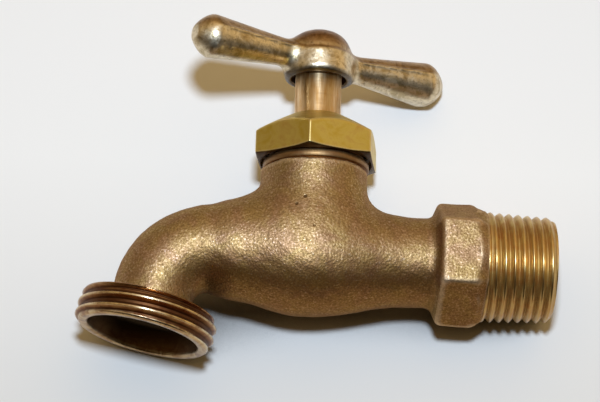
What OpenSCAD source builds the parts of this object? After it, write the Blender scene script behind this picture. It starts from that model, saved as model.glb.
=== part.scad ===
// Hose bib: a screw-down garden tap with a cast bronze body, a hexagonal packing nut and a tee handle.
// Origin: on the inlet axis at its outermost full thread crest. +X points out of the inlet,
// +Z runs up the stem, and the spout leaves towards -X and turns down.

/* [Inlet] */
// Distance from the stem axis to the outermost full inlet thread crest
inlet_reach = 44.9; // [42:0.1:50]
// Crest radius of the outermost full inlet thread, 1/2-14 taper pipe thread
inlet_crest_r = 10.407; // [10.3:0.001:10.5]
// Number of full inlet thread crests
inlet_crests = 6; // [5:1:7]
// Radius of the inlet bore
inlet_bore_r = 7.5; // [7:0.1:7.8]
// Across-flats size of the wrench hexagon on the inlet
inlet_hex_af = 21.5; // [21:0.1:22.5]

/* [Body] */
// Largest radius of the valve chamber
chamber_r = 11.5; // [11:0.1:12]
// Radius of the neck that carries the packing nut
neck_r = 10.3; // [10:0.1:10.6]
// Height of the machined lip below the nut, above the inlet axis
lip_z = 17.5; // [17:0.1:18]
// Radius of the hole in the valve seat
seat_hole_r = 4.25; // [3.5:0.05:4.6]
// Height of the valve seat's sealing edge above the inlet axis
seat_z = 3.3; // [3:0.1:3.4]

/* [Spout] */
// Outer radius of the spout tube
spout_r = 8.2; // [8:0.1:8.5]
// Radius of the spout's bend, on its centre line
bend_r = 11.2; // [11:0.1:11.5]
// Lean of the outlet axis away from straight down
outlet_lean = 11.9; // [8:0.1:15]
// Crest radius of the hose thread, 3/4-11.5 garden hose
hose_crest_r = 13.49; // [13.4:0.01:13.5]
// Radius of the bore at the mouth of the outlet
outlet_bore_r = 10.8; // [10:0.1:11]

/* [Packing nut] */
// Across-flats size of the packing nut
nut_af = 22.4; // [22:0.1:23]
// Height of the nut's lower face above the inlet axis
nut_z = 19.05; // [19.05:0.05:19.4]
// Height of the nut, to the top of its cone
nut_h = 9.55; // [9.2:0.05:9.8]
// Turn of the nut about the stem
nut_turn = 19.6; // [0:0.1:60]

/* [Stem and handle] */
// Radius of the turned stem
stem_r = 4.55; // [4.4:0.05:4.7]
// Rise of the stem for each full turn of the handle
stem_lead = 2.8; // [2:0.1:3.2]
// Distance from the stem axis to the centre of each handle end
handle_reach = 23.7; // [20:0.1:28]
// Radius of the rounded handle ends
handle_end_r = 4.55; // [4.2:0.05:5]
// Turn of the handle about the stem, when the tap is closed
handle_turn = 24.3; // [0:0.1:180]

/* [Hidden] */
$fn = 96;

cast = "#a2834f";
nut_brass = "#b08d2e";
turned = "#c69a5c";
nickel = "#b9ad93";
rubber = "#1d1c1b";
yarn = "#4a4740";

// Inlet pipe thread: 14 threads per inch on a taper of 1 in 16
inlet_pitch = 25.4 / 14;
inlet_depth = 1.4;
inlet_land = 0.6;
inlet_taper = 1 / 32;
inlet_end_x = inlet_reach + 1.5;
inlet_end_r = 9.7;
inlet_chamfer = 0.4;
inlet_runout = 34.2;
hex_corner_r = inlet_hex_af / 2 / cos(30);
hex_x0 = 24;
hex_x1 = 31.6;
hex_round = 1;
hex_back_drop = 0.5;
hex_front_drop = 1.9;
land_r = 11;
inlet_pipe_r = 8.7;

// Hose thread: 11.5 threads per inch, cut on a collar at the end of the spout
hose_pitch = 25.4 / 11.5;
hose_depth = 1.3;
hose_land = 0.7;
hose_crests = 2;
hose_first = 1.8;
outlet_rim_r = 12.4;
outlet_rim_h = 0.6;
outlet_chamfer = 0.3;
collar_r = 13.1;
collar_t0 = 5.5;
collar_t1 = 6.3;
collar_chamfer = 0.4;
outlet_bore_depth = 4.8;

// Spout centre line: level out of the chamber, one bend, then straight to the mouth
spout_z = 0.9;
bend_x = -19.3;
bend_angle = 90 - outlet_lean;
spout_end = 9.4;
shoulder_x = -8;
shoulder_z = 3.4;

// Chamber
chamber_half = 13.5;
chamber_end_r = 8.5;

// Waterway: from the inlet bore down under the seat, up through it, and over to the spout
bore_end = 30;
dip_start = [27, 0, -0.4];
dip_end = [9, 0, -3.8];
lower_way_r = 4.7;
lower_way_z = -3.9;
lower_way_x = 10.4;
upper_r = 7.8;
upper_z0 = 2.4;
seat_ring_r = 5.7;
link_start = [-6.4, 0, 7.7];
link_end = [-21.8, 0, -0.1];
link_r = 4.2;
waterway_r = 5.9;

// Neck, stuffing box and nut
thread_bore_r = 6.95;
thread_bore_z0 = 9.5;
box_z = 20.6;
box_r = 7.6;
neck_top = 23.2;
neck_thread_r = 9.55;
groove_w = 0.4;
groove_depth = 0.4;
lip_h = 1.5;
washer_t = 0.8;
ring_t = 2;
gland_t = 1.6;
nut_wall_z = box_z + washer_t + 2 * ring_t + gland_t;
nut_corner_r = nut_af / 2 / cos(30);
nut_shoulder_z = 25.2;
nut_top_r = 5.3;
nut_round = 0.9;
nut_recess_h = 0.8;

// Clearances: a turning fit, a loose ring, a loose hole, and faces that all but touch
run_gap = 0.07;
ring_gap = 0.1;
hole_gap = 0.2;
touch_gap = 0.05;
// How far one solid reaches into the next, and how far a cut reaches past a face
merge = 0.1;
over = 1;

// Stem, screw and washer, with the tap closed
seat_washer_t = 3.2;
seat_washer_r = 5.9;
cup_r = 6.5;
cup_lip = 1.4;
cup_t = 2.1;
stem_thread_h = 4.8;
disc_z = seat_z + seat_washer_t + touch_gap;
stem_thread_z = disc_z + cup_t;
stem_top = 38.2;
square_af = 6.4;
square_h = 5;
screw_r = 2;
screw_head_r = 3.6;
screw_head_h = 1.5;
screw_len = 6.4;
slot_w = 0.9;
slot_depth = 0.7;

// Handle
hub_z0 = 36.6;
hub_r = 6.9;
hub_band_z = 41;
hub_top = 47;
arm_z = 40.35;
arm_root_r = 2.6;
arm_root = 5;
hub_wall = 1.2;

module on_stem() translate([-inlet_reach, 0, 0]) children();

// Cylinder lying along +X from x0 to x1
module along_x(x0, x1, r0, r1) translate([x0, 0, 0]) rotate([0, 90, 0])
    cylinder(h = x1 - x0, r1 = r0, r2 = r1);

// Cylinder or cone between two points of the XZ plane
module cylinder_from(a, b, r0, r1) {
    d = b - a;
    translate(a) rotate([0, atan2(d.x, d.z), 0]) cylinder(h = norm(d), r1 = r0, r2 = r1);
}

// Upright cylinder from z0 to z1
module upright(z0, z1, r) translate([0, 0, z0]) cylinder(h = z1 - z0, r = r);

module washer(z, h, outer, inner) difference() {
    upright(z, z + h, outer);
    upright(z - over, z + h + over, inner);
}

// Moves its children to the mouth of the outlet, with +Z pointing back up into the spout
module at_outlet() {
    start = [bend_x - bend_r * cos(outlet_lean), 0, spout_z - bend_r + bend_r * sin(outlet_lean)];
    translate(start + spout_end * [-sin(outlet_lean), 0, -cos(outlet_lean)])
        rotate([0, outlet_lean, 0]) children();
}

// Tube of radius r along the spout's bend
module bend(r) translate([bend_x, 0, spout_z - bend_r]) rotate([90, 0, 0]) rotate(90)
    rotate_extrude(angle = bend_angle) translate([bend_r, 0]) circle(r);

// Outline of a row of V-shaped crests, each with a flat land, as [radius, distance] points
function thread_outline(count, first, pitch, crest_r, depth, land, taper) = [
    for (i = [0:count - 1])
        let (z = first + i * pitch, r = crest_r + taper * i * pitch, foot = pitch / 2 - merge)
        each [[r - depth, z - foot], [r, z - land / 2], [r, z + land / 2], [r - depth, z + foot]]
];

// Inlet thread from its end face back to the hexagon, with a plain runout behind the last crest
module inlet_outline() {
    face = inlet_reach - inlet_end_x;
    last_r = inlet_crest_r + inlet_taper * (inlet_crests - 1) * inlet_pitch;
    hexagon = inlet_reach - hex_x1;
    translate([inlet_reach, 0, 0]) rotate([0, -90, 0]) rotate_extrude() polygon(concat(
        [[0, face], [inlet_end_r - inlet_chamfer, face], [inlet_end_r, face + inlet_chamfer]],
        thread_outline(inlet_crests, 0, inlet_pitch, inlet_crest_r, inlet_depth, inlet_land, inlet_taper),
        [[last_r, inlet_reach - inlet_runout], [land_r, hexagon], [inlet_pipe_r, hexagon], [0, hexagon]]));
}

// Wrench hexagon with its corners turned down at both ends
module inlet_hexagon() intersection() {
    translate([hex_x0, 0, 0]) rotate([0, 90, 0])
        cylinder(h = hex_x1 + hex_round - hex_x0, r = hex_corner_r, $fn = 6);
    union() {
        along_x(hex_x0, hex_x0 + hex_round, hex_corner_r - hex_back_drop, hex_corner_r);
        along_x(hex_x0 + hex_round, hex_x1 - hex_round, hex_corner_r, hex_corner_r);
        along_x(hex_x1 - hex_round, hex_x1 + hex_round, hex_corner_r, hex_corner_r - hex_front_drop);
    }
}

// Barrel of revolution about X whose outline is one long arc
module chamber() {
    sag = chamber_r - chamber_end_r;
    arc_r = (pow(chamber_half, 2) + pow(sag, 2)) / (2 * sag);
    rotate([0, 90, 0]) rotate_extrude() intersection() {
        translate([chamber_r - arc_r, 0]) circle(arc_r, $fn = 360);
        translate([0, -chamber_half]) square([chamber_r + over, 2 * chamber_half]);
    }
}

// Spout's root: one cone from the bend up into the neck, and one from the bend to the chamber
module shoulder() {
    cylinder_from([bend_x, 0, spout_z], [shoulder_x, 0, shoulder_z], spout_r + 4 * merge, neck_r - merge);
    cylinder_from([bend_x - 3 * merge, 0, spout_z], [2 * over - chamber_half, 0, 0], spout_r + 2 * merge,
                  chamber_end_r + 5 * merge);
}

// Neck: cast wall, a groove, the machined lip under the nut, and the nut's thread
module neck() {
    upright(0, lip_z - groove_w, neck_r);
    upright(0, lip_z + merge, neck_r - groove_depth);
    upright(lip_z, lip_z + lip_h, neck_r + touch_gap);
    upright(0, neck_top, neck_thread_r);
}

module outlet_outline() rotate_extrude() polygon(concat(
    [[0, 0], [outlet_rim_r - outlet_chamfer, 0], [outlet_rim_r, outlet_chamfer],
     [outlet_rim_r, outlet_rim_h]],
    thread_outline(hose_crests, hose_first, hose_pitch, hose_crest_r, hose_depth, hose_land, 0),
    [[collar_r, collar_t0], [collar_r, collar_t1 - collar_chamfer],
     [collar_r - 1.5 * collar_chamfer, collar_t1], [spout_r, collar_t1 + collar_chamfer / 2],
     [0, collar_t1 + collar_chamfer / 2]]));

// The hollow that the water runs through, and the stuffing box above it
module waterway() {
    along_x(bore_end, inlet_end_x + over, inlet_bore_r, inlet_bore_r);
    lower_way();
    seat_chamber();
    cylinder_from(link_start, link_end, link_r, link_r);
    bend(waterway_r);
    at_outlet() {
        upright(outlet_bore_depth - over, spout_end + 3 * merge, waterway_r + 2 * merge);
        upright(-over, outlet_bore_depth, outlet_bore_r);
    }
    upright(thread_bore_z0 - over, neck_top + over, thread_bore_r);
    upright(box_z, neck_top + over, box_r);
}

// Passage that dips from the inlet bore to below the seat
module lower_way() {
    along_x(dip_start.x - 2 * over, bore_end + over / 2, lower_way_r + 3 * merge, inlet_bore_r - merge);
    cylinder_from(dip_start, dip_end, lower_way_r - merge, lower_way_r - merge);
    translate([0, 0, lower_way_z]) {
        along_x(0, lower_way_x, lower_way_r, lower_way_r);
        sphere(lower_way_r + merge);
    }
}

// Chamber above the seat, with the seat's raised ring left standing on its floor
module seat_chamber() {
    difference() {
        upright(upper_z0, thread_bore_z0, upper_r);
        upright(upper_z0 - over, seat_z, seat_ring_r);
    }
    upright(lower_way_z, seat_z + over, seat_hole_r);
}

module body() on_stem() color(cast) difference() {
    union() {
        inlet_outline();
        inlet_hexagon();
        along_x(0, hex_x0 + over, inlet_pipe_r, inlet_pipe_r);
        chamber();
        neck();
        shoulder();
        bend(spout_r + merge);
        at_outlet() {
            outlet_outline();
            upright(collar_t1, spout_end + 2 * merge, spout_r);
        }
    }
    waterway();
}

// Outline of the nut: rounded lower corner, turned-down upper corner, and a cone up to the stem
module nut_outline() rotate_extrude() polygon([
    [0, nut_z], [nut_corner_r - 2 * nut_round, nut_z], [nut_corner_r, nut_z + nut_round / 2],
    [nut_corner_r, nut_shoulder_z - nut_round],
    [nut_af / 2 - 1.5 * nut_round, nut_shoulder_z + 1.5 * nut_round],
    [nut_top_r + nut_round, nut_z + nut_h - nut_round / 3], [nut_top_r, nut_z + nut_h],
    [0, nut_z + nut_h]]);

module packing_nut() on_stem() color(nut_brass) difference() {
    intersection() {
        rotate(nut_turn) translate([0, 0, nut_z]) cylinder(h = nut_h, r = nut_corner_r, $fn = 6);
        nut_outline();
    }
    upright(nut_z - over, neck_top + hole_gap, neck_thread_r + touch_gap);
    upright(nut_z - over, nut_z + nut_recess_h, neck_r + hole_gap + ring_gap);
    upright(nut_z, nut_wall_z, box_r);
    upright(0, nut_z + nut_h + over, stem_r + hole_gap);
}

module packing_gland() on_stem() color(turned)
    washer(nut_wall_z - gland_t, gland_t, box_r - ring_gap, stem_r + run_gap);

module packing_ring_upper() on_stem() color(yarn)
    washer(box_z + washer_t + ring_t, ring_t, box_r - ring_gap, stem_r + run_gap);

module packing_ring_lower() on_stem() color(yarn)
    washer(box_z + washer_t, ring_t, box_r - ring_gap, stem_r + run_gap);

module packing_washer() on_stem() color(turned)
    washer(box_z, washer_t, box_r - ring_gap, stem_r + hole_gap);

// Square end that the handle fits on
module stem_square() translate([-square_af / 2, -square_af / 2, stem_top - merge])
    cube([square_af, square_af, square_h + merge]);

// Ring-shaped ridges that stand for the stem's lifting thread
module stem_thread() {
    crests = floor(2 * stem_thread_h / stem_lead);
    ridge = stem_thread_h / crests;
    upright(stem_thread_z - merge, stem_thread_z + stem_thread_h, thread_bore_r - ridge / 2);
    for (i = [0:crests - 1])
        translate([0, 0, i * ridge])
            upright(stem_thread_z + ridge / 5, stem_thread_z + 0.7 * ridge, thread_bore_r - run_gap);
}

module stem() on_stem() color(turned) difference() {
    union() {
        upright(disc_z, disc_z + cup_t, cup_r);
        washer(disc_z - cup_lip, cup_lip + merge, cup_r, seat_washer_r + ring_gap);
        stem_thread();
        upright(stem_thread_z, stem_top, stem_r);
        stem_square();
    }
    upright(disc_z - over, disc_z + screw_len - seat_washer_t + screw_head_h + hole_gap, screw_r);
}

module seat_washer() on_stem() color(rubber) difference() {
    upright(seat_z, seat_z + seat_washer_t, seat_washer_r);
    upright(seat_z - over, seat_z + seat_washer_t + over, screw_r + run_gap);
    upright(seat_z - over, seat_z + screw_head_h / 2, screw_head_r + hole_gap + ring_gap);
}

// Slotted screw whose head is half sunk in the washer
module washer_screw() on_stem() color(nut_brass) {
    head_top = seat_z + screw_head_h / 2 - touch_gap;
    difference() {
        upright(head_top - screw_head_h, head_top, screw_head_r);
        translate([-screw_head_r - over, -slot_w / 2, head_top - screw_head_h - over])
            cube([2 * (screw_head_r + over), slot_w, slot_depth + over]);
    }
    upright(head_top - slot_depth, head_top + screw_len - slot_depth, screw_r);
}

module handle() on_stem() color(nickel) difference() {
    union() {
        upright(hub_z0, hub_band_z, hub_r);
        dome();
        rotate(handle_turn) for (side = [0, 180]) rotate(side) translate([0, 0, arm_z]) {
            along_x(arm_root, handle_reach, arm_root_r, handle_end_r);
            translate([handle_reach, 0, 0]) sphere(handle_end_r + 0.02);
        }
    }
    upright(hub_z0 - over, stem_top, hub_r - hub_wall);
    stem_square();
}

// Cap of the hub: one arc turned about the stem axis
module dome() {
    rise = hub_top - hub_band_z + hub_wall / 2;
    cap_r = (pow(hub_r, 2) + pow(rise, 2)) / (2 * rise);
    intersection() {
        translate([0, 0, hub_top - cap_r]) sphere(cap_r);
        upright(hub_band_z - merge, hub_top + over, hub_r);
    }
}

body();
packing_nut();
packing_gland();
packing_ring_upper();
packing_ring_lower();
packing_washer();
stem();
seat_washer();
washer_screw();
handle();
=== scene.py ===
import math

import bmesh
import bpy
import numpy as np
from mathutils import Matrix, Vector


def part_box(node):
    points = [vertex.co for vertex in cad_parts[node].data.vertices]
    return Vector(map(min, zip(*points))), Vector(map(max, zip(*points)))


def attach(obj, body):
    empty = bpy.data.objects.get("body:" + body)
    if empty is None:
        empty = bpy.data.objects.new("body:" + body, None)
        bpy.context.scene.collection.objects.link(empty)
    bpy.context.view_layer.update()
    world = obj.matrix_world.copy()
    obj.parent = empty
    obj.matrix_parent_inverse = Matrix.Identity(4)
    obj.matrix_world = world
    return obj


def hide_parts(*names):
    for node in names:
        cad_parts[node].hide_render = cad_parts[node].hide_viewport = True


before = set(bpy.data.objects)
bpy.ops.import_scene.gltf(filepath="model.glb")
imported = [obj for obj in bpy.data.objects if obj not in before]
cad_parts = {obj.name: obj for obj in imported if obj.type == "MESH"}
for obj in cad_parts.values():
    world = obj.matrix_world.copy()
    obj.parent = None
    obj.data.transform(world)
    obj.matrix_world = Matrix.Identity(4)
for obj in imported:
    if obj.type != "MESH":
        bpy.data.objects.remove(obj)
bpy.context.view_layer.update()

# Shapes are worked out in millimetres from the point where the stem axis crosses the inlet axis:
# +X out of the inlet, +Z up the stem. MM and STEM carry them into the row frame.
MM = 0.001
STEM_LOW, STEM_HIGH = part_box("stem")
STEM = Vector(((STEM_LOW.x + STEM_HIGH.x) / 2, 0, 0))


def millimetres(node):
    """The two corners of a CAD node's box, in the units and from the point that the shapes use."""
    low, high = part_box(node)
    return (low - STEM) / MM, (high - STEM) / MM


BODY_LOW, BODY_HIGH = millimetres("body")
NUT_LOW, NUT_HIGH = millimetres("packing_nut")
HANDLE_LOW, HANDLE_HIGH = millimetres("handle")
SPINDLE_LOW, SPINDLE_HIGH = millimetres("stem")

# Chamber: its largest radius, where that is, how far the swell reaches each way, and its flat end
CHAMBER_R = 11.6
CHAMBER_X = -1.3
CHAMBER_LEFT = 17.5
CHAMBER_RIGHT = 21
CHAMBER_END = -17.5
# Inlet pipe, and how far its outside sits above the inlet axis
PIPE_R = 8.7
PIPE_Z = 0.15
# Neck, a little off the stem axis, and the machined lip above it
NECK_R = 10.35
NECK_X = -0.3
NECK_FOOT = 5
NECK_TOP = 17.25
LIP_TOP = 19

# Wrench hexagon: half its size across flats, and the slope of each end with the length that makes the
# sloping field a distance again
HEX_FLAT = 10.83
HEX_Z = 0.1
HEX_X0 = 24.0
HEX_X1 = 30.95
HEX_BACK_SLOPE, HEX_BACK_LENGTH = 2.6, 2.79
HEX_FRONT_SLOPE, HEX_FRONT_LENGTH = 0.68, 1.21
HEX_ROUND = 0.55

# Plain land between the hexagon and the inlet thread: its radius at LAND_X, and how fast that falls
LAND_START = 31
LAND_END = 33.1
LAND_X = 32
LAND_R = 10.95
LAND_TAPER = 0.35
LAND_Z = 0.2

# Spout: the middle and radius of its bend, the lean of the outlet, and the length of its straight end
BEND = Vector((-19.3, 0, -10.5))
BEND_R = 11.2
LEAN = math.radians(11.9)
BEND_ANGLE = math.pi / 2 - LEAN
SPOUT_END = 9.4
SPOUT_R = 7.8
SPOUT_ROOT_R = 8.45
COLLAR_T = 5.9
# Direction from the outlet's mouth back into the spout
OUTLET_BACK = (math.sin(LEAN), 0, math.cos(LEAN))

# Waterway, above and below the seat
INLET_BORE_R = 7.6
INLET_BORE_END = 27
DIP_R = 4.6
LOWER_WAY_R = 4.7
LINK_R = 4.2
SPOUT_BORE_R = 5.9
OUTLET_BORE_R = 6.1
SEAT_HOLE_R = 4.25
SEAT_Z = 3.3
SEAT_RING_R = 5.7
SEAT_CHAMBER_R = 7.8
NECK_BORE_R = 7.02

# Threads
INCH = 25.4
INLET_PITCH = INCH / 14
HOSE_PITCH = INCH / 11.5
NECK_PITCH = INCH / 20
STEM_LEAD = 2.8
HOSE_CREST_R = 13.49
HOSE_RIM_R = 12.7
HOSE_BORE_R = 10.8


# ---------- small field tools ----------

def smooth_min(a, b, k):
    """The lower of two fields, with their crease rounded over a width k."""
    h = np.clip(0.5 + 0.5 * (b - a) / k, 0, 1)
    return b + (a - b) * h - k * h * (1 - h)


def smooth_max(a, b, k):
    """The higher of two fields, with their crease rounded over a width k."""
    return -smooth_min(-a, -b, k)


def lerp(a, b, t):
    """The value a share t of the way from a to b."""
    return a + (b - a) * t


def smooth_step(low, high, value):
    """0 below low, 1 above high, and a soft rise between them."""
    t = np.clip((value - low) / (high - low), 0, 1)
    return t * t * (3 - 2 * t)


def cone_between(p, a, b, ra, rb):
    """Distance from a round-ended cone from a to b."""
    a, b = np.array(a, float), np.array(b, float)
    along = b - a
    t = np.clip((p - a) @ along / (along @ along), 0, 1)
    return np.linalg.norm(p - a - t[:, None] * along, axis=1) - lerp(ra, rb, t)


def upright(p, x, r, z0, z1):
    """Distance from a flat-ended cylinder that stands on z0 and reaches z1."""
    side = np.hypot(p[:, 0] - x, p[:, 1]) - r
    return np.maximum(side, np.maximum(z0 - p[:, 2], p[:, 2] - z1))


# ---------- cast body ----------

def bend_tube(p, r_start, r_end):
    """Distance from the spout's bend, whose radius changes along it."""
    angle = np.arctan2(BEND.x - p[:, 0], p[:, 2] - BEND.z)
    angle = np.clip(angle, 0, BEND_ANGLE)
    centre = np.stack([BEND.x - BEND_R * np.sin(angle), 0 * angle, BEND.z + BEND_R * np.cos(angle)], 1)
    return np.linalg.norm(p - centre, axis=1) - lerp(r_start, r_end, angle / BEND_ANGLE)


def outlet_point(t, side=0.0):
    """A point on the outlet's axis, t back from its mouth, and side along the mouth's plane."""
    start = Vector((BEND.x - BEND_R * math.cos(LEAN), 0, BEND.z + BEND_R * math.sin(LEAN)))
    out = Vector((-math.sin(LEAN), 0, -math.cos(LEAN)))
    across = Vector((math.cos(LEAN), 0, -math.sin(LEAN)))
    return start + (SPOUT_END - t) * out + side * across


def outlet_distance(p):
    """How far back from the mouth each point is, along the outlet's axis."""
    return (p - np.array(outlet_point(0))) @ np.array(OUTLET_BACK)


def barrel(p):
    """Chamber and inlet pipe: one tube along X that swells round the seat."""
    away = p[:, 0] - CHAMBER_X
    reach = np.where(away < 0, CHAMBER_LEFT, CHAMBER_RIGHT)
    swell = 0.5 + 0.5 * np.cos(math.pi * np.clip(away / reach, -1, 1))
    radius = PIPE_R + (CHAMBER_R - PIPE_R) * swell
    shell = (np.hypot(p[:, 1], p[:, 2] - PIPE_Z) - radius) / 1.04
    return smooth_max(smooth_max(shell, CHAMBER_END - p[:, 0], 3), p[:, 0] - LAND_END + 2, 0.4)


def hexagon(p):
    """Cast wrench hexagon that tapers into the pipe behind and is turned down in front."""
    y, z = p[:, 1], p[:, 2] - HEX_Z
    flats = smooth_max(np.abs(y), np.abs(0.5 * y + 0.866 * z), HEX_ROUND)
    flats = smooth_max(flats, np.abs(0.5 * y - 0.866 * z), HEX_ROUND) - HEX_FLAT
    back = (flats + HEX_BACK_SLOPE * (HEX_X0 - p[:, 0])) / HEX_BACK_LENGTH
    front = (flats + HEX_FRONT_SLOPE * (p[:, 0] - HEX_X1)) / HEX_FRONT_LENGTH
    return smooth_max(smooth_max(flats, back, 0.9), front, 0.45)


def land(p):
    """Plain land between the hexagon and the inlet thread, narrowing towards the thread."""
    radius = LAND_R - LAND_TAPER * (p[:, 0] - LAND_X)
    return smooth_max(np.hypot(p[:, 1], p[:, 2] - LAND_Z) - radius, LAND_START - p[:, 0], 0.8)


def cast_outside(p):
    """The outside of the casting: neck, chamber, spout, hexagon and land, with soft fillets."""
    neck = np.hypot(p[:, 0] - NECK_X, p[:, 1]) - NECK_R
    neck = smooth_max(neck, 0.8 * (NECK_FOOT - p[:, 2]), 4)
    shape = smooth_min(neck, barrel(p), 4.5)
    root = cone_between(p, (BEND.x, 0, 0.8), (-7, 0, 3.2), 8.35, 9.6)
    spout = smooth_min(bend_tube(p, SPOUT_ROOT_R, SPOUT_R), root, 0.8)
    straight = cone_between(p, outlet_point(SPOUT_END), outlet_point(3), SPOUT_R, SPOUT_R)
    shape = smooth_min(shape, np.minimum(spout, straight), 3)
    shape = smooth_min(shape, smooth_min(hexagon(p), land(p), 0.7), 1.5)
    shape = smooth_max(shape, p[:, 0] - LAND_END, 0.2)
    shape = smooth_max(shape, COLLAR_T - outlet_distance(p), 0.3)
    return smooth_max(shape, p[:, 2] - NECK_TOP, 0.35)


def waterway(p):
    """The hollow inside the casting, from the inlet round the seat to the spout."""
    dip = cone_between(p, (24, 0, -0.4), (9, 0, -3.8), DIP_R, DIP_R)
    lower = cone_between(p, (0, 0, -3.9), (10.4, 0, -3.9), LOWER_WAY_R, LOWER_WAY_R)
    link = cone_between(p, (-6.4, 0, 7.7), (-21.8, 0, -0.1), LINK_R, LINK_R)
    bend = bend_tube(p, SPOUT_BORE_R, SPOUT_BORE_R)
    outlet = cone_between(p, outlet_point(SPOUT_END), outlet_point(-4), OUTLET_BORE_R, OUTLET_BORE_R)
    seat_hole = upright(p, 0, SEAT_HOLE_R, -4, SEAT_Z + 1)
    neck = upright(p, 0, NECK_BORE_R, 8, 30)
    hollow = np.maximum(np.hypot(p[:, 1], p[:, 2]) - INLET_BORE_R, INLET_BORE_END - p[:, 0])
    for tube in (dip, lower, link, bend, outlet, seat_hole, neck):
        hollow = smooth_min(hollow, tube, 0.6)
    above_seat = upright(p, 0, SEAT_CHAMBER_R, 2.4, 9.5)
    return np.minimum(hollow, np.maximum(above_seat, -upright(p, 0, SEAT_RING_R, 1.4, SEAT_Z)))


def in_waterway(p):
    """1 on the walls of the hollow inside the casting, and 0 outside."""
    return 1 - smooth_step(0.15, 0.5, np.abs(waterway(p)))


def casting(p):
    """The cast body with its shallow sand-cast unevenness."""
    x, y, z = p.T
    wave = (np.sin(0.53 * x + 1.1) * np.sin(0.61 * y + 0.4) + np.sin(0.47 * z + 0.33 * x) * np.cos(0.7 * y)
            + 0.6 * np.sin(1.13 * x + 0.9 * z) * np.sin(1.31 * y - 0.7 * z + 2))
    ripple = np.sin(2.9 * x + 1.7 * y) * np.sin(2.3 * z + 3.1 * y + 0.6) * np.cos(2.6 * x - 1.9 * z)
    outside = cast_outside(p) + 0.045 * wave + 0.02 * ripple
    return smooth_max(outside, -waterway(p), 0.3)


# ---------- nut and handle ----------

NUT_TURN = math.radians(19.6)
NUT_FLAT = 11.2
# The nut's bore, from its mouth up, as pairs of radius and the height where that radius ends
NUT_BORE = (10.7, LIP_TOP + 0.9), (9.62, 23.4), (7.6, 27)
NUT_HOLE_R = 4.75
# One side of a hexagon, as an angle
SIXTH = math.pi / 3


def packing_nut(p):
    """Hexagonal nut: chamfered underneath, coned on top, bored for the neck, packing and stem."""
    radius = np.hypot(p[:, 0], p[:, 1])
    turn = np.arctan2(p[:, 1], p[:, 0]) - NUT_TURN - SIXTH / 2
    z0, z1 = LIP_TOP, NUT_HIGH.z
    sector = np.abs(np.mod(turn + SIXTH / 2, SIXTH) - SIXTH / 2)
    flats = radius * np.cos(sector) - NUT_FLAT
    z = p[:, 2]
    crown = (radius - 13 + (z - 23.95) * 1.38) / 1.7
    cone = (radius - 5.1 + (z - z1) * 1.83) / 2.08
    chamfer = (radius - 11.3 - (z - z0) * 3.9) / 4.03
    shape = smooth_max(flats, crown, 0.12)
    shape = smooth_max(shape, cone, 0.8)
    shape = smooth_max(shape, chamfer, 0.12)
    shape = smooth_max(smooth_max(shape, z - z1, 0.3), z0 - z, 0.2)
    bore = radius - NUT_HOLE_R
    for bore_r, bore_top in NUT_BORE:
        bore = np.minimum(bore, np.maximum(radius - bore_r, z - bore_top))
    return smooth_max(shape, -bore, 0.15)


ARM_TURN = math.radians(24.3)
# Height of an arm's axis, its reach to the middle of the rounded end, and the radii at the hub and the end
LEFT_ARM = 40.75, 23.8, 2.55, 4.3
RIGHT_ARM = 40.3, 23.7, 2.45, 4.5
# Where an arm starts to widen, and the angle of its casting seam above the level
ARM_ROOT = 6
SEAM_ANGLE, SEAM_WIDTH, SEAM_HEIGHT = 0.24, 0.09, 0.3
# Hub: the skirt, how far the handle stands inside the CAD's box at each end, and the cap above it
HUB_R = 6.9
HUB_INSET = 0.5
CAP_R, CAP_FOOT, CAP_POWER = 6.5, 40, 2.5
RECESS_R = 5.4
SQUARE_HALF, SQUARE_GAP = 3.2, 0.02
SQUARE_H = 5


def arm(p, side, height, reach, hub_r, end_r):
    """One arm of the tee: a cone with a rounded, slightly faced-off end and a faint raised seam."""
    x, y, z = side * p[:, 0], side * p[:, 1], p[:, 2] - height
    t = np.clip((x - ARM_ROOT) / (reach - ARM_ROOT), 0, 1)
    radius = lerp(hub_r, end_r, t ** 1.08)
    inside = np.stack([np.maximum(x - reach, 0) + np.minimum(x, 0), y, z], 1)
    round_side = np.linalg.norm(inside, axis=1) - radius
    off_seam = (np.arctan2(z, np.abs(y)) - SEAM_ANGLE) / SEAM_WIDTH
    seam = SEAM_HEIGHT * np.exp(-off_seam ** 2) * smooth_step(5, 9, x)
    seam = seam * (1 - smooth_step(20, 26, x))
    end = np.maximum(x - reach - end_r + 0.3, (x - reach + np.hypot(y, z) - 1.34 * end_r) / 1.41)
    return smooth_max(round_side - seam, end, 1.2)


def handle(p):
    """Tee handle, turned so that its arms lie along X: hub with a skirt, domed cap and two arms."""
    radius = np.hypot(p[:, 0], p[:, 1])
    z = p[:, 2]
    z0, top = HANDLE_LOW.z + HUB_INSET, HANDLE_HIGH.z - HUB_INSET
    skirt = smooth_max(radius - HUB_R, (radius - 6.2 - 0.9 * (z - z0)) / 1.35, 0.5)
    skirt = smooth_max(smooth_max(skirt, z0 - z, 0.3), z - 41.3, 0.7)
    rise = np.maximum(z - CAP_FOOT, 0) / (top - CAP_FOOT)
    cap = ((radius / CAP_R) ** CAP_POWER + rise ** CAP_POWER) ** (1 / CAP_POWER) - 1
    cap = np.maximum(cap * 6.2, CAP_FOOT - 1 - z)
    hub = smooth_min(skirt, cap, 0.5)
    arms = np.minimum(arm(p, 1, *RIGHT_ARM), arm(p, -1, *LEFT_ARM))
    shape = smooth_min(hub, arms, 2.4)
    shape = smooth_max(shape, z0 - z, 0.3)
    recess = np.maximum(radius - RECESS_R, z - SPINDLE_HIGH.z + SQUARE_H)
    across = np.maximum(np.abs(p[:, 0]), np.abs(p[:, 1]))
    square = np.maximum(across - (SQUARE_HALF + SQUARE_GAP), z - SPINDLE_HIGH.z)
    return smooth_max(shape, -np.minimum(recess, square), 0.25)


# ---------- meshing ----------

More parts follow.
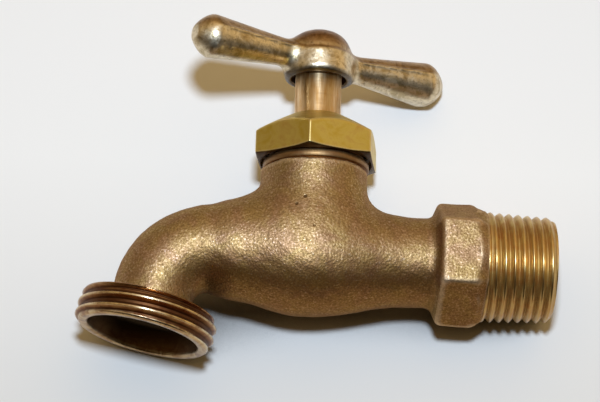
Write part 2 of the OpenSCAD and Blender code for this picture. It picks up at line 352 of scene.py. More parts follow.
CORNERS = np.array([(i, j, k) for i in (0, 1) for j in (0, 1) for k in (0, 1)])


def sampled(field, low, high, step):
    """The field on a grid over the box, as (values, origin)."""
    low = np.array(low, float)
    axes = [np.arange(a, b + step, step) for a, b in zip(low, high)]
    grid = np.stack(np.meshgrid(*axes, indexing="ij"), -1).reshape(-1, 3)
    return field(grid).reshape([len(a) for a in axes]), low


def cell_points(values, cells):
    """For each cell that the surface crosses, the mean of its crossings, in grid units."""
    total = np.zeros((len(cells), 3))
    count = np.zeros(len(cells))
    for a in CORNERS:
        for b in CORNERS:
            if (b - a).sum() != 1 or (b < a).any():
                continue
            fa, fb = values[tuple((cells + a).T)], values[tuple((cells + b).T)]
            crossed = (fa < 0) != (fb < 0)
            t = np.where(crossed, fa / np.where(crossed, fa - fb, 1), 0)
            total += crossed[:, None] * (a + t[:, None] * (b - a))
            count += crossed
    return cells + total / count[:, None]


def surface_net(values):
    """Points in grid units and quads of the zero surface of a sampled field."""
    inside = values < 0
    size = np.array(values.shape) - 1
    filled = sum(inside[i:size[0] + i, j:size[1] + j, k:size[2] + k].astype(int) for i, j, k in CORNERS)
    mixed = (filled > 0) & (filled < 8)
    cells = np.argwhere(mixed)
    index = np.full(mixed.shape, -1)
    index[mixed] = np.arange(len(cells))
    quads = []
    for axis in range(3):
        u, v = np.eye(3, dtype=int)[(axis + 1) % 3], np.eye(3, dtype=int)[(axis + 2) % 3]
        front = np.moveaxis(inside, axis, 0)
        edges = np.argwhere(np.moveaxis(front[1:] != front[:-1], 0, axis))
        edges = edges[((edges >= u + v).all(1)) & ((edges < size).all(1))]
        ring = np.stack([index[tuple(q.T)] for q in (edges, edges - u, edges - u - v, edges - v)], 1)
        starts_inside = inside[tuple(edges.T)]
        quads.append(np.where(starts_inside[:, None], ring, ring[:, ::-1]))
    return cell_points(values, cells), np.concatenate(quads)


def gradient(field, points, reach):
    """The field's slope at each point, measured over reach to each side."""
    steps = reach * np.eye(3)
    return np.stack([field(points + s) - field(points - s) for s in steps], 1) / (2 * reach)


def field_mesh(field, low, high, step):
    """Points, in millimetres, and quads of a field's surface, with each point drawn onto it."""
    values, origin = sampled(field, low, high, step)
    points, quads = surface_net(values)
    points = origin + points * step
    for _ in range(3):
        slope = gradient(field, points, step / 8)
        move = slope * (field(points) / np.maximum((slope ** 2).sum(1), 0.05))[:, None]
        length = np.linalg.norm(move, axis=1)[:, None]
        points = points - move * np.minimum(1, step / 2 / np.maximum(length, 1e-9))
    return points, quads


def turned_mesh(rows, count):
    """Points and quads of a closed ring: rows are functions of the turn that give (distance, radius)."""
    turns = np.linspace(0, 1, count + 1)
    places = np.array([[row(t) for t in turns] for row in rows])
    angle = 2 * math.pi * turns
    points = np.stack([places[..., 0], places[..., 1] * np.cos(angle), places[..., 1] * np.sin(angle)], -1)
    at = np.arange(len(rows) * (count + 1)).reshape(len(rows), count + 1)
    below, above = at, np.roll(at, -1, 0)
    quads = np.stack([below[:, :-1], below[:, 1:], above[:, 1:], above[:, :-1]], -1)
    return points.reshape(-1, 3), quads.reshape(-1, 4)


# Places within one pitch where a thread gets a row of points, for each form of crest
ROUND_CREST = (0, 0.1, 0.2, 0.3, 0.4, 0.47, 0.53, 0.6, 0.7, 0.8, 0.9)
FLAT_CREST = (0, 0.05, 0.07, 0.09, 0.15, 0.24, 0.33, 0.38, 0.42, 0.5,
              0.58, 0.62, 0.67, 0.76, 0.85, 0.91, 0.93, 0.95)
# Shares of the pitch: half the flat crest, one flank, and from a round crest to the root
CREST_HALF, FLANK, ROUND_HALF = 0.07, 0.31, 0.47


def thread_cut(phase, flat):
    """How deep a thread is cut, from 0 on the crest to 1 in the root, for a place within the pitch."""
    from_crest = abs((phase + 0.5) % 1 - 0.5)
    if flat:
        return min(max((from_crest - CREST_HALF) / FLANK, 0), 1)
    t = min(from_crest / ROUND_HALF, 1)
    return 0.35 * t + 0.65 * t * t


def thread_rows(start, end, first, pitch, radius_at, depth_at, flat=False):
    """Rows of a helical thread between two distances. first is a crest's place at turn 0."""
    low = math.floor((start - first) / pitch) - 2
    high = math.ceil((end - first) / pitch) + 2

    def row(phase):
        def at(turn):
            x = min(max(first + pitch * (phase + turn), start), end)
            cut = thread_cut((x - first) / pitch - turn, flat)
            return x, radius_at(x) - depth_at(x) * cut
        return at

    phases = FLAT_CREST if flat else ROUND_CREST
    return [row(k + phase) for k in range(low, high) for phase in phases]


def plain_rows(*places):
    """Rows that stay at one (distance, radius) all the way round."""
    return [lambda turn, place=place: place for place in places]


def piece(name, points, quads, body, material, replaced=(), dark=None):
    """A visible piece made of points in millimetres, which rides on a body."""
    mesh = bpy.data.meshes.new(name)
    mesh.from_pydata((np.asarray(points) * MM + np.array(STEM)).tolist(), [], np.asarray(quads).tolist())
    work = bmesh.new()
    work.from_mesh(mesh)
    bmesh.ops.remove_doubles(work, verts=work.verts, dist=0.002 * MM)
    bmesh.ops.dissolve_degenerate(work, edges=work.edges, dist=0.001 * MM)
    bmesh.ops.recalc_face_normals(work, faces=work.faces)
    for face in work.faces:
        face.smooth = True
    work.to_mesh(mesh)
    work.free()
    mesh.materials.append(material)
    made = bpy.data.objects.new(name, mesh)
    bpy.context.scene.collection.objects.link(made)
    mark_edges(made, dark)
    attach(made, body)
    if replaced:
        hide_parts(*replaced)
    return made


def mark_edges(made, dark):
    """Stores how strongly each point sticks out (over 0.5) or lies in a hollow (under 0.5), as "edge".

    dark, if given, is a field that is 1 where the inside is painted black, for patina and painted shade,
    and is stored as "dark".
    """
    mesh = made.data
    at = np.zeros(len(mesh.vertices) * 3)
    mesh.vertices.foreach_get("co", at)
    at = at.reshape(-1, 3) / MM
    normal = np.zeros(len(mesh.vertices) * 3)
    mesh.vertex_normals.foreach_get("vector", normal)
    normal = normal.reshape(-1, 3)
    pairs = np.zeros(len(mesh.edges) * 2, int)
    mesh.edges.foreach_get("vertices", pairs)
    a, b = pairs.reshape(-1, 2).T
    step = at[b] - at[a]
    bend = ((normal[b] - normal[a]) * step).sum(1) / np.maximum((step ** 2).sum(1), 1e-6)
    total, count = np.zeros(len(at)), np.zeros(len(at))
    for end in (a, b):
        np.add.at(total, end, bend)
        np.add.at(count, end, 1)
    curve = total / np.maximum(count, 1)
    for _ in range(2):
        spread, near = curve.copy(), np.ones(len(at))
        np.add.at(spread, a, curve[b])
        np.add.at(spread, b, curve[a])
        np.add.at(near, a, 1)
        np.add.at(near, b, 1)
        curve = spread / near
    layer = mesh.attributes.new("edge", "FLOAT", "POINT")
    layer.data.foreach_set("value", np.clip(0.5 + 0.5 * curve, 0, 1).astype(np.float32))
    if dark:
        layer = mesh.attributes.new("dark", "FLOAT", "POINT")
        layer.data.foreach_set("value", dark(at - np.array(STEM) / MM).astype(np.float32))


# ---------- materials ----------

X_AXIS, Z_AXIS = 0, 2
WHITE = (1, 1, 1)
# Black patina and painted shade for the insides of the bores
BORE_PATINA_AND_SHADE = (0.045, 0.026, 0.012)
# Sockets of a Mix node that mixes colours
MIX_SHARE, MIX_A, MIX_B, MIX_RESULT = 0, 6, 7, 2


class Nodes:
    """A material's node tree, with a short way to add and join nodes."""

    def __init__(self, name):
        self.material = bpy.data.materials.new(name)
        self.material.use_nodes = True
        self.tree = self.material.node_tree
        self.shader = self.tree.nodes["Principled BSDF"]
        place = self.add("ShaderNodeTexCoord").outputs["Object"]
        self.place = self.add("ShaderNodeVectorMath", operation="SCALE", Vector=place, Scale=1 / MM)
        self.place = self.place.outputs["Vector"]

    def add(self, kind, **values):
        """A new node. Each value goes to the input of that name, or else to the node's own setting."""
        node = self.tree.nodes.new(kind)
        for name, value in values.items():
            name = name.replace("_", " ") if name.replace("_", " ") in node.inputs else name
            if name in node.inputs:
                self.put(node.inputs[name], value)
            else:
                setattr(node, name, value)
        return node

    def put(self, socket, value):
        if isinstance(value, bpy.types.NodeSocket):
            self.tree.links.new(value, socket)
        else:
            socket.default_value = value

    def noise(self, scale, detail=2.0, rough=0.5, warp=0.0, stretch=(1, 1, 1)):
        """Noise with scale cells a millimetre. A stretch under 1 draws it out along that axis."""
        place = self.add("ShaderNodeMapping", Vector=self.place, Scale=stretch).outputs["Vector"]
        return self.add("ShaderNodeTexNoise", Vector=place, Scale=scale, Detail=detail, Roughness=rough,
                        Distortion=warp).outputs["Fac"]

    def ramp(self, value, *stops):
        """Colours, or greys, at the stops along a value."""
        node = self.add("ShaderNodeValToRGB", Fac=value)
        points = node.color_ramp.elements
        while len(points) < len(stops):
            points.new(0.5)
        for point, (where, colour) in zip(points, stops):
            point.position = where
            point.color = (*colour, 1) if hasattr(colour, "__len__") else (colour, colour, colour, 1)
        return node.outputs["Color"]

    def between(self, value, low, high, out_low=0.0, out_high=1.0):
        """The value carried from low..high to out_low..out_high, and held at the ends."""
        node = self.add("ShaderNodeMapRange", Value=value)
        ends = {"From Min": low, "From Max": high, "To Min": out_low, "To Max": out_high}
        for name, number in ends.items():
            node.inputs[name].default_value = number
        return node.outputs["Result"]

    def mix(self, share, a, b, blend="MIX"):
        """Colour b laid over colour a with the given share and blend."""
        node = self.add("ShaderNodeMix", data_type="RGBA", blend_type=blend)
        for socket, value in ((MIX_SHARE, share), (MIX_A, a), (MIX_B, b)):
            if not isinstance(value, bpy.types.NodeSocket) and hasattr(value, "__len__"):
                value = (*value, 1)
            self.put(node.inputs[socket], value)
        return node.outputs[MIX_RESULT]

    def maths(self, operation, a, b):
        """The result of one sum on two numbers or sockets."""
        node = self.add("ShaderNodeMath", operation=operation)
        self.put(node.inputs[0], a)
        self.put(node.inputs[1], b)
        return node.outputs[0]

    def blacken(self, colour):
        """Black patina and painted shade on the walls of the bores."""
        dark = self.add("ShaderNodeAttribute", attribute_name="dark").outputs["Fac"]
        return self.mix(dark, colour, BORE_PATINA_AND_SHADE)

    def painted_facing_tint(self, colour, tint, low=-0.25, high=-0.8):
        """Colour times a tint where the normal's Z runs from low to high: painted shade on what faces down,
        and with low and high above 0 a painted dark reflection on what faces up.
        """
        normal = self.add("ShaderNodeNewGeometry").outputs["Normal"]
        facing = self.add("ShaderNodeSeparateXYZ", Vector=normal).outputs["Z"]
        return self.mix(self.between(facing, low, high), colour, tint, "MULTIPLY")

    def edge(self):
        """The stored bend of the surface: over 0.5 on a corner, under 0.5 in a hollow."""
        return self.add("ShaderNodeAttribute", attribute_name="edge").outputs["Fac"]

    def bump(self, *layers):
        """Layers are (height socket, strength, distance in millimetres), the coarsest first."""
        normal = None
        for height, strength, reach in layers:
            node = self.add("ShaderNodeBump", Strength=strength, Distance=reach * MM, Height=height)
            if normal:
                self.put(node.inputs["Normal"], normal)
            normal = node.outputs["Normal"]
        self.put(self.shader.inputs["Normal"], normal)

    def finish(self, colour, roughness, metallic=1.0):
        """Sets the shader's main values and gives the finished material."""
        self.put(self.shader.inputs["Base Color"], colour)
        self.put(self.shader.inputs["Roughness"], roughness)
        self.put(self.shader.inputs["Metallic"], metallic)
        return self.material


def cast_bronze():
    """Sand-cast bronze: mottled brown and olive, grain with pale flecks painted as glints, pitted, rubbed
    bright on corners; patina and painted shade in hollows and bores, painted shade facing down and at
    grazing edges.
    """
    n = Nodes("cast_bronze")
    mottle = n.ramp(n.noise(0.22, 3, 0.6, 0.6), (0.36, (0.445, 0.297, 0.12)), (0.64, (0.41, 0.243, 0.13)))
    grain = n.noise(2.6, 3, 0.62)
    coarse = n.noise(1.0, 2, 0.5)
    sand = n.add("ShaderNodeTexVoronoi", Vector=n.place, Scale=2.1, Randomness=1.0).outputs["Distance"]
    colour = n.mix(n.between(grain, 0.36, 0.62, 0.3, 0.9), (0.16, 0.09, 0.03), mottle)
    # Pale flecks where the grain is high: painted glints.
    colour = n.mix(n.between(grain, 0.58, 0.74, 0, 0.45), colour, (0.76, 0.64, 0.55))
    # Painted shade: darker on what faces down.
    colour = n.painted_facing_tint(colour, (0.78, 0.60, 0.40), -0.1, -0.65)
    rubbed = n.between(n.edge(), 0.58, 0.84)
    colour = n.mix(n.maths("MULTIPLY", rubbed, 0.55), colour, (0.80, 0.60, 0.38))
    # Darker in the hollows: patina and painted crease shade.
    hollow = n.between(n.edge(), 0.47, 0.30)
    colour = n.mix(n.maths("MULTIPLY", hollow, 0.65), colour, (0.14, 0.07, 0.026))
    pit = n.add("ShaderNodeTexVoronoi", Vector=n.place, Scale=0.13, Randomness=1.0).outputs["Distance"]
    pit = n.between(pit, 0.035, 0.06)
    # Painted shade: darker towards grazing edges.
    grazing_shade = n.between(n.add("ShaderNodeLayerWeight", Blend=0.5).outputs["Facing"], 0.6, 1.0)
    colour = n.mix(grazing_shade, colour, n.mix(1.0, colour, (0.66, 0.52, 0.38), "MULTIPLY"))
    # Black in the bores: patina and painted shade.
    colour = n.blacken(n.mix(pit, (0.12, 0.07, 0.03), colour))
    n.put(n.shader.inputs["Specular Tint"], (0.90, 0.76, 0.60, 1))
    roughness = n.between(grain, 0.35, 0.7, 0.56, 0.44)
    n.bump((coarse, 0.3, 0.2), (n.maths("SUBTRACT", 1.0, sand), 0.35, 0.1), (grain, 0.5, 0.12),
           (pit, 0.4, 0.25))
    return n.finish(colour, roughness)


def turned_bronze(name, bright, dark, ring_axis, dirt, shine, rough, mouth=False):
    """Machined bronze: fine turning lines round an axis, brown tarnish in the roots, bright crests, painted
    shade on what faces down, and black in the bore (patina and painted shade).

    rough is the roughness in the roots and on the crests. With mouth, the crests are dull on the collar
    behind the hose thread, and the rim in front is worn pale.
    """
    n = Nodes(name)
    stretch = [0.05 if i != ring_axis else 1 for i in range(3)]
    lines = n.noise(2.4, 3, 0.6, 0, stretch)
    tarnish = n.noise(0.5, 3, 0.6, 0.8)
    colour = n.mix(n.between(tarnish, 0.4, 0.7, 0.0, 1.0), bright, dark)
    colour = n.mix(n.between(lines, 0.5, 0.68, 0, 0.4), colour, tuple(0.6 * c for c in dark))
    root = n.between(n.edge(), 0.46, 0.15)
    colour = n.mix(n.maths("MULTIPLY", root, dirt), colour, tuple(0.4 * c for c in dark))
    crest = n.maths("MULTIPLY", n.between(n.edge(), 0.74, 1.0), shine)
    crest = n.maths("MULTIPLY", crest, n.between(n.noise(0.4, 3, 0.7), 0.38, 0.58, 0.3, 1))
    if mouth:
        along = n.add("ShaderNodeVectorMath", operation="DOT_PRODUCT", Vector=n.place)
        back = Vector(OUTLET_BACK)
        along.inputs[1].default_value = back
        behind = n.maths("SUBTRACT", along.outputs["Value"], back.dot(outlet_point(0) + STEM / MM))
        crest = n.maths("MULTIPLY", crest, n.between(behind, 5.2, 4.4, 0.2, 1))
        rim = n.maths("MULTIPLY", n.between(behind, 0.9, 0.55), n.between(tarnish, 0.62, 0.42, 0.2, 0.9))
        colour = n.mix(rim, colour, (0.62, 0.49, 0.31))
    colour = n.mix(crest, colour, (0.84, 0.68, 0.42))
    # Black in the bore: patina and painted shade.
    # Painted shade: darker on what faces down.
    colour = n.blacken(n.painted_facing_tint(colour, (0.82, 0.68, 0.50)))
    roughness = n.between(n.edge(), 0.45, 0.8, *rough)
    n.bump((n.noise(1.1, 2), 0.15, 0.1), (lines, 0.4, 0.06))
    return n.finish(colour, roughness)


def nut_brass():
    """Milled yellow brass with a thin uneven tarnish, bright corners and painted shade on what faces down.
    """
    n = Nodes("nut_brass")
    tarnish = n.noise(0.28, 4, 0.62, 0.7)
    colour = n.ramp(tarnish, (0.3, (0.56, 0.39, 0.06)), (0.5, (0.62, 0.475, 0.12)),
                    (0.7, (0.54, 0.34, 0.085)))
    speck = n.between(n.noise(1.9, 2, 0.6), 0.70, 0.78)
    colour = n.mix(n.maths("MULTIPLY", speck, 0.5), colour, (0.26, 0.14, 0.04))
    bright = n.between(n.edge(), 0.60, 0.9)
    colour = n.mix(n.maths("MULTIPLY", bright, 0.3), colour, (0.90, 0.74, 0.46))
    # Painted shade: much darker on what faces down.
    colour = n.painted_facing_tint(colour, (0.15, 0.10, 0.08), -0.3, -0.65)
    lines = n.noise(5, 2, 0.5, 0, (1, 1, 0.05))
    roughness = n.between(tarnish, 0.3, 0.7, 0.36, 0.46)
    n.bump((n.noise(0.9, 2), 0.10, 0.1), (lines, 0.25, 0.03))
    return n.finish(colour, roughness)


def stem_brass():
    """Turned copper-coloured stem: streaks along it, and fine rings that draw its shine out lengthwise."""
    n = Nodes("turned_brass")
    streak = n.noise(1.6, 3, 0.6, 0.2, (1, 1, 0.12))
    colour = n.ramp(streak, (0.35, (0.72, 0.42, 0.155)), (0.65, (0.92, 0.70, 0.43)))
    rings = n.noise(2.4, 2, 0.5, 0, (0.04, 0.04, 1))
    n.put(n.shader.inputs["Anisotropic"], 0.8)
    n.put(n.shader.inputs["Anisotropic Rotation"], 0.25)
    tangent = n.add("ShaderNodeTangent", direction_type="RADIAL", axis="Z").outputs["Tangent"]
    n.put(n.shader.inputs["Tangent"], tangent)
    n.bump((rings, 0.6, 0.1), (n.noise(4, 2, 0.5, 0, (1, 1, 0.08)), 0.15, 0.03))
    return n.finish(colour, n.between(streak, 0.3, 0.7, 0.38, 0.46))


def worn_nickel():
    """Old nickel plate over brass: warm grey with worn brown patches and dull specks; a painted dark
    reflection on what faces up and on the cap, and painted shade under the hub.
    """
    n = Nodes("worn_nickel")
    patch = n.noise(0.25, 4, 0.62, 1.0)
    colour = n.ramp(patch, (0.36, (0.44, 0.33, 0.18)), (0.5, (0.75, 0.63, 0.44)),
                    (0.64, (0.48, 0.38, 0.22)))
    speck = n.between(n.noise(1.7, 3, 0.68), 0.54, 0.68)
    colour = n.mix(n.maths("MULTIPLY", speck, 0.6), colour, (0.22, 0.15, 0.08))
    # Painted dark reflection: browner on what faces up.
    colour = n.painted_facing_tint(colour, (0.56, 0.41, 0.26), 0.12, 0.5)
    flat = n.add("ShaderNodeVectorMath", operation="MULTIPLY", Vector=n.place)
    flat.inputs[1].default_value = (1, 1, 0)
    away = n.add("ShaderNodeVectorMath", operation="DISTANCE", Vector=flat.outputs["Vector"])
    away.inputs[1].default_value = (STEM.x / MM, 0, 0)
    from_stem = away.outputs["Value"]
    # Painted dark reflection: browner within the cap's radius of the stem.
    cap = n.mix(n.between(from_stem, 6.7, 6.2), WHITE, (0.62, 0.50, 0.40))
    colour = n.mix(1.0, colour, cap, "MULTIPLY")
    # Painted shade under the hub: darker on what faces down near the stem.
    hub_shade_below = n.painted_facing_tint(WHITE, (0.10, 0.07, 0.04), -0.3, -0.7)
    hub_shade_below = n.mix(n.between(from_stem, 7.2, 6.9), WHITE, hub_shade_below)
    colour = n.mix(1.0, colour, hub_shade_below, "MULTIPLY")
    rubbed = n.between(n.edge(), 0.60, 0.85)
    colour = n.mix(n.maths("MULTIPLY", rubbed, 0.15), colour, (0.80, 0.72, 0.56))
    roughness = n.between(n.noise(0.5, 3, 0.6), 0.3, 0.7, 0.30, 0.42)
    n.bump((n.noise(0.6, 3), 0.35, 0.3), (n.noise(2.6, 3, 0.6), 0.4, 0.08))
    return n.finish(colour, roughness)


def black_rubber():
    """Dull black rubber with a faint grain."""
    n = Nodes("rubber")
    colour = n.mix(n.noise(0.8, 3), (0.010, 0.010, 0.010), (0.03, 0.03, 0.028))
    n.bump((n.noise(4, 3), 0.3, 0.05))
    return n.finish(colour, n.between(n.noise(2, 2), 0.3, 0.7, 0.55, 0.8), 0.0)


def packing_yarn():
    """Greased yarn laid round the stem."""
    n = Nodes("packing_yarn")
    strands = n.noise(3, 3, 0.6, 0.4, (0.3, 0.3, 1.6))
    colour = n.mix(strands, (0.03, 0.028, 0.022), (0.12, 0.105, 0.085))
    n.bump((strands, 0.6, 0.15))
    return n.finish(colour, 0.75, 0.0)


# ---------- pieces ----------

FINE = 1.0
CAST_STEP, NUT_STEP, HANDLE_STEP = 0.42, 0.2, 0.3
INLET_TURNS, OUTLET_TURNS, STEM_TURNS = 160, 200, 128


def build_body(material, inlet_metal, outlet_metal, collar_metal):
    """The casting, and the machined parts of the same node as pieces of their own."""
    low = (BODY_LOW.x, -14, BODY_LOW.z)
    high = (LAND_END + 1, 14, NECK_TOP + 1)
    points, quads = field_mesh(casting, low, high, CAST_STEP * FINE)
    piece("casting", points, quads, "valve_body", material, ["body"], in_waterway)
    build_inlet_thread(inlet_metal)
    build_outlet_thread(outlet_metal)
    build_neck_collar(collar_metal)


def build_inlet_thread(material):
    """Tapered pipe thread that fades in at the land and out at the end face."""
    end, reach = BODY_HIGH.x, 44.9
    crest_r, depth, taper = 10.27, 0.95, 26
    fade_start, fade = 32.9, 0.9
    first = reach - 5 * INLET_PITCH - 0.64

    def radius_at(x):
        return min(crest_r + (reach - x) / taper, 9.5 + (end - x) * 0.8)

    def depth_at(x):
        return depth * min(max((x - fade_start) / fade, 0), 1) * min(1, 0.2 + 0.5 * (end - x))

    rows = plain_rows((31, 7.5), (31, 9), (32.6, 9.1), (32.8, 10.6))
    rows += thread_rows(33, end - 0.02, first, INLET_PITCH, radius_at, depth_at)
    rows += plain_rows((end, 9.3), (end, 8.1), (end - 0.12, 7.75), (end - 0.5, 7.5))
    points, quads = turned_mesh(rows, INLET_TURNS)
    piece("inlet_thread", points, quads, "valve_body", material)


def build_outlet_thread(material):
    """Hose thread with a plain rim in front and its last, fading turn as a collar behind."""
    depth, collar_drop, fade = 1.05, 0.55, 0.8

    def radius_at(t):
        return HOSE_CREST_R - collar_drop * min(max((t - 5.1) / fade, 0), 1)

    def depth_at(t):
        return depth * min(max((6.3 - t) / fade, 0.25), 1)

    rows = plain_rows((4.8, 6.2), (4.8, 10.6), (4.6, HOSE_BORE_R), (0.5, HOSE_BORE_R), (0.15, 10.95),
                      (0, 11.25), (0, 12.1), (0.12, 12.45), (0.35, 12.65), (0.6, HOSE_RIM_R))
    rows += thread_rows(0.75, 6.05, 1.3, HOSE_PITCH, radius_at, depth_at, True)
    rows += plain_rows((6.2, HOSE_RIM_R), (6.35, 12.3), (6.45, 11.6), (6.6, 8.4), (6.8, 7.4), (6.2, 6.2))
    points, quads = turned_mesh(rows, OUTLET_TURNS)
    mouth = np.array(outlet_point(0))
    back = np.array(OUTLET_BACK)
    across = np.array([-math.cos(LEAN), 0, math.sin(LEAN)])
    side = np.array([0, -1, 0])
    points = mouth + points[:, :1] * back + points[:, 1:2] * across + points[:, 2:] * side
    piece("outlet_thread", points, quads, "valve_body", material, dark=in_bore)


def in_bore(points):
    """1 inside the outlet's bore and 0 outside it."""
    along = outlet_distance(points)
    on_axis = along[:, None] * np.array(OUTLET_BACK)
    radius = np.linalg.norm(points - np.array(outlet_point(0)) - on_axis, axis=1)
    return (1 - smooth_step(10.85, 11.1, radius)) * smooth_step(0.1, 0.9, along)


def standing(points):
    """Turns points made round X so that they stand round the stem axis."""
    return np.stack([points[:, 1], points[:, 2], points[:, 0]], 1)


def build_neck_collar(material):
    """The machined lip under the nut, and the threaded end of the neck inside it."""
    bore_r, lip_r, neck_top = 6.97, 10.34, 23.2
    crest_r, depth = 9.5, 0.55
    rows = plain_rows((16.6, bore_r), (16.6, 9.8), (17.3, 9.85), (17.45, 10.2), (17.6, lip_r),
                      (18.8, lip_r), (18.97, 10.2), (LIP_TOP, 9.6))
    rows += thread_rows(19.2, 23, 20, NECK_PITCH, lambda z: crest_r, lambda z: depth)
    rows += plain_rows((neck_top, 8.8), (neck_top, 7.65), (20.6, 7.6), (20.55, bore_r))
    points, quads = turned_mesh(rows, STEM_TURNS)
    piece("neck_collar", standing(points), quads, "valve_body", material)


def build_nut(material):
    """The packing nut, meshed in a box a little larger than itself."""
    low = (-14, -14, NUT_LOW.z - 0.5)
    high = (14, 14, NUT_HIGH.z + 0.5)
    points, quads = field_mesh(packing_nut, low, high, NUT_STEP * FINE)
    piece("packing_nut_hex", points, quads, "valve_body", material, ["packing_nut"])


def build_stem(material):
    """Spindle: cup for the washer, lifting thread, plain shank and the square for the handle."""
    low, top = SPINDLE_LOW.z, SPINDLE_HIGH.z
    screw_r, cup_r, shank_r, middle = 2.02, 6.5, 4.55, 0.01
    crest_r, depth = 6.86, 1.3
    shoulder = top - SQUARE_H
    rows = plain_rows((6.55, screw_r), (6.55, 6.0), (low, 6.02), (low, 6.4), (low + 0.2, cup_r),
                      (8.5, cup_r), (8.65, 6.3))
    rows += thread_rows(8.8, 13.3, 9.6, STEM_LEAD, lambda z: crest_r, lambda z: depth)
    rows += plain_rows((13.45, 5.4), (13.45, 4.7), (13.6, shank_r), (top - 5.2, shank_r),
                       (shoulder, 4.35), (shoulder, middle), (11.5, middle), (11.4, screw_r))
    points, quads = turned_mesh(rows, STEM_TURNS)
    piece("spindle", standing(points), quads, "spindle", material, ["stem"])
    build_square(material, top)


def build_square(material, top):
    """The stem's square end, chamfered at the top."""
    half = SQUARE_HALF
    ring = [(-half, -half), (half, -half), (half, half), (-half, half)]
    levels = ((top - 5.4, 1), (top - 0.4, 1), (top, 0.88))
    posts = [(x * s, y * s, z) for z, s in levels for x, y in ring]
    quads = [(0, 3, 2, 1), (8, 9, 10, 11)]
    quads += [(4 * k + i, 4 * k + (i + 1) % 4, 4 * k + 4 + (i + 1) % 4, 4 * k + 4 + i)
              for k in (0, 1) for i in range(4)]
    square = piece("spindle_square", posts, quads, "spindle", material)
    square.data.shade_flat()


def build_handle(material):
    """The tee handle, meshed with its arms along X and then turned to where they stand."""
    low = (-29, -8, HANDLE_LOW.z - 0.6)
    high = (29, 8, HANDLE_HIGH.z + 0.6)
    points, quads = field_mesh(handle, low, high, HANDLE_STEP * FINE)
    turn = np.array(Matrix.Rotation(ARM_TURN, 3, "Z"))
    piece("tee_handle", points @ turn.T, quads, "spindle", material, ["handle"])


def paint(node, material):
    """Gives a carried-over CAD node its material."""
    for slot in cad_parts[node].material_slots:
        slot.material = material
    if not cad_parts[node].material_slots:
        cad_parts[node].data.materials.append(material)


# ---------- camera, floor and light ----------

# Camera: how it is turned, tipped and rolled, how far away it is, and the point it looks at
VIEW_TURN = math.radians(4.121)
VIEW_DROP = math.radians(17.680)
VIEW_ROLL = math.radians(1.908)
VIEW_DISTANCE = 0.55821
LENS = 172.52
TARGET = STEM + Vector((-2.866, 0, 11.389)) * MM
# The table that the part lies on, as how far back it is at the stem and how it slopes along X and Z
TABLE_Y, TABLE_X_SLOPE, TABLE_Z_SLOPE = 0.01249, -0.0625, 0.0781
FLOOR_HALF = 1.6


def view_axes():
    """Right, up and back of the camera."""
    forward = Vector((math.sin(VIEW_TURN) * math.cos(VIEW_DROP), math.cos(VIEW_TURN) * math.cos(VIEW_DROP),
                      math.sin(VIEW_DROP)))
    level = Vector((math.cos(VIEW_TURN), -math.sin(VIEW_TURN), 0))
    up = level.cross(forward)
    right = math.cos(VIEW_ROLL) * level + math.sin(VIEW_ROLL) * up
    return right, math.cos(VIEW_ROLL) * up - math.sin(VIEW_ROLL) * level, -forward


def aimed(made, place, right, up, back):
    """Puts a camera or light at a place, with its axes along right, up and back."""
    turn = Matrix((right, up, back)).transposed().to_4x4()
    made.matrix_world = Matrix.Translation(place) @ turn
    bpy.context.scene.collection.objects.link(made)
    return made


def add_camera():
    """The scene's camera, which looks at the part from the photo's side."""
    right, up, back = view_axes()
    data = bpy.data.cameras.new("camera")
    data.lens = LENS
    data.sensor_width = 36
    data.clip_start, data.clip_end = 0.01, 20
    camera = aimed(bpy.data.objects.new("camera", data), TARGET + back * VIEW_DISTANCE, right, up, back)
    bpy.context.scene.camera = camera


def add_light(name, place, target, size, power, colour):
    """A round area light that shines from a place at a target."""
    back = (place - target).normalized()
    right = Vector((0, 0, 1)).cross(back).normalized()
    data = bpy.data.lights.new(name, "AREA")
    data.shape = "DISK"
    data.size = size
    data.energy = power
    data.color = colour
    aimed(bpy.data.objects.new(name, data), place, right, back.cross(right), back)


def add_floor():
    """A pale sheet under the part as it lies on its side, clear from behind so every side can be seen."""
    data = bpy.data.meshes.new("floor")
    half = FLOOR_HALF
    corners = [(x, TABLE_Y + TABLE_X_SLOPE * (x - STEM.x) + TABLE_Z_SLOPE * z, z)
               for x, z in ((-half, -half), (half, -half), (half, half), (-half, half))]
    data.from_pydata(corners, [], [(0, 1, 2, 3)])
    floor = bpy.data.objects.new("floor", data)
    bpy.context.scene.collection.objects.link(floor)
    data.materials.append(floor_cloth())


def floor_cloth():
    """Pale cloth with the flash's falloff painted in, darker lower down, and a painted contact shadow close
    to the part below the inlet pipe.
    """
    n = Nodes("floor_cloth")
    height = n.add("ShaderNodeSeparateXYZ", Vector=n.place).outputs["Z"]
    # Painted falloff of the flash: the cloth darker lower down.
    cloth = n.ramp(n.between(height, -40, 45), (0, (0.69, 0.645, 0.575)), (0.75, (0.855, 0.81, 0.735)),
                   (1, (0.855, 0.81, 0.74)))
    # Painted contact shadow: near black where the part hems the cloth in, below the inlet pipe.
    near = n.add("ShaderNodeAmbientOcclusion", Distance=0.02, samples=16).outputs["AO"]
    painted_contact_shadow = n.maths("MULTIPLY", n.between(near, 0.58, 0.25, 0, 0.95), n.between(height, -2, -8))
    n.put(n.shader.inputs["Base Color"], n.mix(painted_contact_shadow, cloth, (0.05, 0.04, 0.03)))
    n.put(n.shader.inputs["Roughness"], 0.9)
    clear = n.add("ShaderNodeBsdfTransparent").outputs["BSDF"]
    behind = n.add("ShaderNodeNewGeometry").outputs["Backfacing"]
    mix = n.add("ShaderNodeMixShader")
    for socket, value in zip(mix.inputs, (behind, n.shader.outputs["BSDF"], clear)):
        n.put(socket, value)
    n.put(n.tree.nodes["Material Output"].inputs["Surface"], mix.outputs["Shader"])
    return n.material


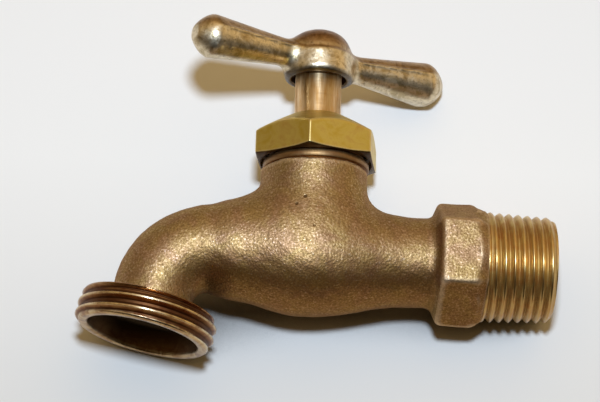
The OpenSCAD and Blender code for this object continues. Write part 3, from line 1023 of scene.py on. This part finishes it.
# Soft glows of the room, each as the way to its middle and its brightness at stops of how near a
# direction is to that way, from 0 for opposite to 1 for the same
GLOWS = (
    ((0.12, -0.73, 0.67), ((0.45, 0.0), (0.6, 0.03), (0.75, 0.13), (0.9, 0.44), (1, 0.9))),
    ((-0.92, -0.25, 0.3), ((0.6, 0.0), (0.85, 0.1), (1, 0.3))),
    ((0.95, -0.2, 0.25), ((0.84, 0.0), (0.92, 0.12), (1, 0.75))),
)
ROOM_COLOUR = (1, 0.73, 0.36, 1)


def add_world():
    """A warm dark room with three soft glows: high on the near side, and at the left and the right."""
    world = bpy.data.worlds.new("studio")
    bpy.context.scene.world = world
    world.use_nodes = True
    tree = world.node_tree
    way = tree.nodes.new("ShaderNodeTexCoord").outputs["Generated"]
    total = None
    for toward, stops in GLOWS:
        dot = tree.nodes.new("ShaderNodeVectorMath")
        dot.operation = "DOT_PRODUCT"
        dot.inputs[1].default_value = toward
        tree.links.new(way, dot.inputs[0])
        share = tree.nodes.new("ShaderNodeMapRange")
        share.inputs["From Min"].default_value = -1
        tree.links.new(dot.outputs["Value"], share.inputs["Value"])
        ramp = tree.nodes.new("ShaderNodeValToRGB")
        tree.links.new(share.outputs["Result"], ramp.inputs["Fac"])
        points = ramp.color_ramp.elements
        while len(points) < len(stops):
            points.new(0.5)
        for point, (where, bright) in zip(points, stops):
            point.position = where
            point.color = (bright, bright, bright, 1)
        if total:
            both = tree.nodes.new("ShaderNodeMath")
            tree.links.new(total, both.inputs[0])
            tree.links.new(ramp.outputs["Color"], both.inputs[1])
            total = both.outputs[0]
        else:
            total = ramp.outputs["Color"]
    sky = tree.nodes["Background"]
    sky.inputs["Color"].default_value = ROOM_COLOUR
    tree.links.new(total, sky.inputs["Strength"])


def light_scene():
    """A small cool flash above the camera, and a larger soft light behind the table for the far side."""
    right, up, back = view_axes()
    middle = STEM + Vector((0, 0, 12)) * MM
    eye = middle + back * VIEW_DISTANCE
    add_light("flash", eye + 0.176 * up + 0.01 * right, middle, 0.07, 3.4, (0.66, 0.83, 1.08))
    add_light("behind", middle + Vector((-0.2, 0.5, 0.1)), middle, 0.25, 6, (0.8, 0.86, 0.95))


def main():
    """Sets the scene, builds every piece and paints the CAD nodes that are shown as they are."""
    add_camera()
    scene = bpy.context.scene
    scene.view_settings.view_transform = "Standard"
    add_floor()
    add_world()
    light_scene()
    bronze = cast_bronze()
    inlet = turned_bronze("inlet_bronze", (0.58, 0.41, 0.16), (0.52, 0.29, 0.10), X_AXIS,
                          dirt=0.08, shine=0.12, rough=(0.5, 0.3))
    outlet = turned_bronze("outlet_bronze", (0.34, 0.18, 0.07), (0.20, 0.068, 0.024), Z_AXIS,
                           dirt=0.8, shine=0.75, rough=(0.5, 0.27), mouth=True)
    collar = turned_bronze("collar_bronze", (0.26, 0.14, 0.05), (0.20, 0.09, 0.032), Z_AXIS,
                           dirt=0.6, shine=0.1, rough=(0.5, 0.46))
    build_body(bronze, inlet, outlet, collar)
    brass, turned = nut_brass(), stem_brass()
    build_nut(brass)
    build_stem(turned)
    build_handle(worn_nickel())
    yarn = packing_yarn()
    for node, material in (("packing_gland", brass), ("packing_washer", brass),
                           ("packing_ring_upper", yarn), ("packing_ring_lower", yarn),
                           ("seat_washer", black_rubber()), ("washer_screw", brass)):
        paint(node, material)


main()
